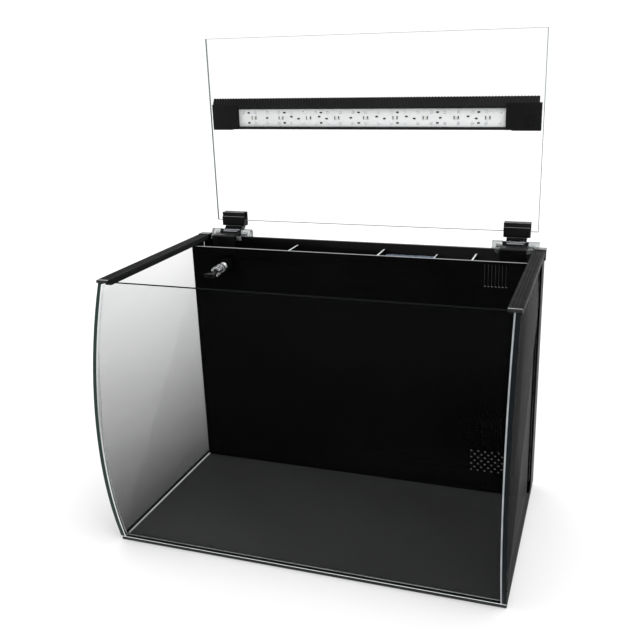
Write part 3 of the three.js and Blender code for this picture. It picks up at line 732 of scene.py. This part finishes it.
def dome(bm, centre, radius, height, rings=3, sides=12):
    """A small closed dome that stands out towards -Y from its centre."""
    rows = []
    for ring in range(rings + 1):
        lift = math.sin(ring / rings * math.pi / 2) * height
        reach = math.cos(ring / rings * math.pi / 2) * radius
        if ring == rings:
            rows.append([bm.verts.new((centre.x, centre.y - lift, centre.z))])
            break
        rows.append([
            bm.verts.new((centre.x + reach * math.cos(a), centre.y - lift, centre.z + reach * math.sin(a)))
            for a in (2 * math.pi * i / sides for i in range(sides))
        ])
    bm.faces.new(rows[0][::-1])
    for lower, upper in zip(rows, rows[1:]):
        for i in range(sides):
            j = (i + 1) % sides
            if len(upper) == 1:
                bm.faces.new((lower[i], lower[j], upper[0]))
            else:
                bm.faces.new((lower[i], lower[j], upper[j], upper[i]))


def brick(bm, low, high, chamfer=0.0):
    """A block from corner to corner, with chamfered edges."""
    made = bmesh.ops.create_cube(bm, size=1.0)["verts"]
    for vertex in made:
        vertex.co = Vector(low[i] + (vertex.co[i] + 0.5) * (high[i] - low[i]) for i in range(3))
    if chamfer:
        edges = {e for v in made for e in v.link_edges}
        bmesh.ops.bevel(bm, geom=list(edges), offset=chamfer, segments=1, affect="EDGES")


def on_board(bm, face, x, z, half_width, half_height, depth, chamfer=0.0):
    """A block centred on (x, z) that stands out of the board's face by depth."""
    low = (x - half_width, face - depth, z - half_height)
    high = (x + half_width, face, z + half_height)
    brick(bm, low, high, chamfer)


LENS_COUNT = 21
LENS_PITCH = 22 * MM
FIRST_LENS = -220 * MM
LENS_RADIUS = 2.6 * MM
LENS_HEIGHT = 1.6 * MM
UPPER_ROW = 8.6 * MM  # over the board's middle
LOWER_ROW = -8.2 * MM

CHIP_COUNT = 9
CHIP_PITCH = 50.1 * MM
FIRST_CHIP = -200.5 * MM
CHIP_PLACES = [FIRST_CHIP + CHIP_PITCH * i for i in range(CHIP_COUNT)]
CHIP_HALF = 2.4 * MM
CHIP_DEPTH = 1.3 * MM
LEAD_PITCH = 1.8 * MM
LEAD_REACH = 3.4 * MM  # from the chip's middle to a lead's
LEAD_HALF = 0.9 * MM
LEAD_HALF_WIDTH = 0.6 * MM
LEAD_DEPTH = 0.8 * MM

RESISTOR_HALF = (2.1 * MM, 1.2 * MM)
RESISTOR_DEPTH = 1.1 * MM
RESISTOR_PITCH = 66 * MM  # of the pairs in the two rows
FIRST_RESISTOR = -210 * MM
RESISTOR_PAIRS = 7
LONE_RESISTOR = (24.5 * MM, 0.0)  # from the chip on its left
TWO_RESISTORS = ((19 * MM, 2 * MM), (32 * MM, -1.3 * MM))


def lenses(face, rows):
    """Two rows of small domes down the board."""
    bm = bmesh.new()
    for i in range(LENS_COUNT):
        for z in rows:
            dome(bm, Vector((FIRST_LENS + LENS_PITCH * i, face, z)), LENS_RADIUS, LENS_HEIGHT)
    add_piece("led_lenses", bm, LOOKS["lens"], "lid")


def chips(face, middle):
    """LED packages down the middle, each with three leads a side."""
    packages, leads = bmesh.new(), bmesh.new()
    for x in CHIP_PLACES:
        on_board(packages, face, x, middle, CHIP_HALF, CHIP_HALF, CHIP_DEPTH, 0.3 * MM)
        for row in (-1, 0, 1):
            for side in (-1, 1):
                lead_x = x + side * LEAD_REACH
                lead_z = middle + row * LEAD_PITCH
                on_board(leads, face, lead_x, lead_z, LEAD_HALF, LEAD_HALF_WIDTH, LEAD_DEPTH)
    add_piece("led_chips", packages, LOOKS["chip"], "lid", smooth=False)
    add_piece("led_leads", leads, LOOKS["resistor"], "lid", smooth=False)


def resistors(face, middle, rows):
    """Pairs of resistors in the rows, and one or two in each space between the chips."""
    places = [(FIRST_RESISTOR + RESISTOR_PITCH * i, z) for i in range(RESISTOR_PAIRS) for z in rows]
    for gap, x in enumerate(CHIP_PLACES[:-1]):
        between = (LONE_RESISTOR,) if gap % 3 == 0 else TWO_RESISTORS
        places += [(x + along, middle + over) for along, over in between]
    bm = bmesh.new()
    for x, z in places:
        on_board(bm, face, x, z, *RESISTOR_HALF, RESISTOR_DEPTH, 0.4 * MM)
    add_piece("led_resistors", bm, LOOKS["resistor"], "lid", smooth=False)


# The fin's outline in mm behind and over the housing's top front corner
FIN_OUTLINE = [(-0.7, -14.5), (-0.7, -12.8), (7.1, 0.6), (8.5, 0.6), (8.5, -0.6)]
FIN_PITCH = 5.0 * MM
FIN_HALF = 1.1 * MM


def cooling_fins():
    """Low ribs across the light bar's sloped flank, which stand just over its top edge."""
    low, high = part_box("light_housing")
    length = high.x - low.x
    count = int(length / FIN_PITCH)
    first = low.x + (length - (count - 1) * FIN_PITCH) / 2
    bm = bmesh.new()
    for i in range(count):
        ends = []
        for side in (-1, 1):
            x = first + FIN_PITCH * i + side * FIN_HALF
            outline = [(x, low.y + back * MM, high.z + over * MM) for back, over in FIN_OUTLINE]
            ends.append([bm.verts.new(corner) for corner in outline])
        bm.faces.new(ends[0])
        bm.faces.new(ends[1][::-1])
        for j in range(len(FIN_OUTLINE)):
            k = (j + 1) % len(FIN_OUTLINE)
            bm.faces.new((ends[0][j], ends[0][k], ends[1][k], ends[1][j]))
    add_piece("light_fins", bm, LOOKS["anodised"], "lid", smooth=False)


# The side each screw is on, its place along the bar and its height, in mm
CAP_SCREWS = (("right", 255.5, 632), ("right", 266, 632), ("left", -258, 633))
SCREW_RADIUS = 2.4 * MM
SCREW_HEIGHT = 0.6 * MM


def cap_screws():
    """Low domed screw heads: two in the light's right cap and one in its left."""
    heads = bmesh.new()
    for side, along, height in CAP_SCREWS:
        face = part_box("light_cap_" + side)[0].y
        foot = Vector((along * MM, face, height * MM))
        dome(heads, foot, SCREW_RADIUS, SCREW_HEIGHT, rings=4, sides=20)
    add_piece("light_cap_screws", heads, LOOKS["bar_cap"], "lid")


def light_details():
    """Everything on the light that is finer than its CAD shape."""
    low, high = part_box("light_board")
    middle = (low.z + high.z) / 2
    rows = (middle + UPPER_ROW, middle + LOWER_ROW)
    lenses(low.y, rows)
    chips(low.y, middle)
    resistors(low.y, middle, rows)
    cooling_fins()
    cap_screws()


camera()
pale_floor()
studio_light()
look_after_cad()
filter_media()
light_details()
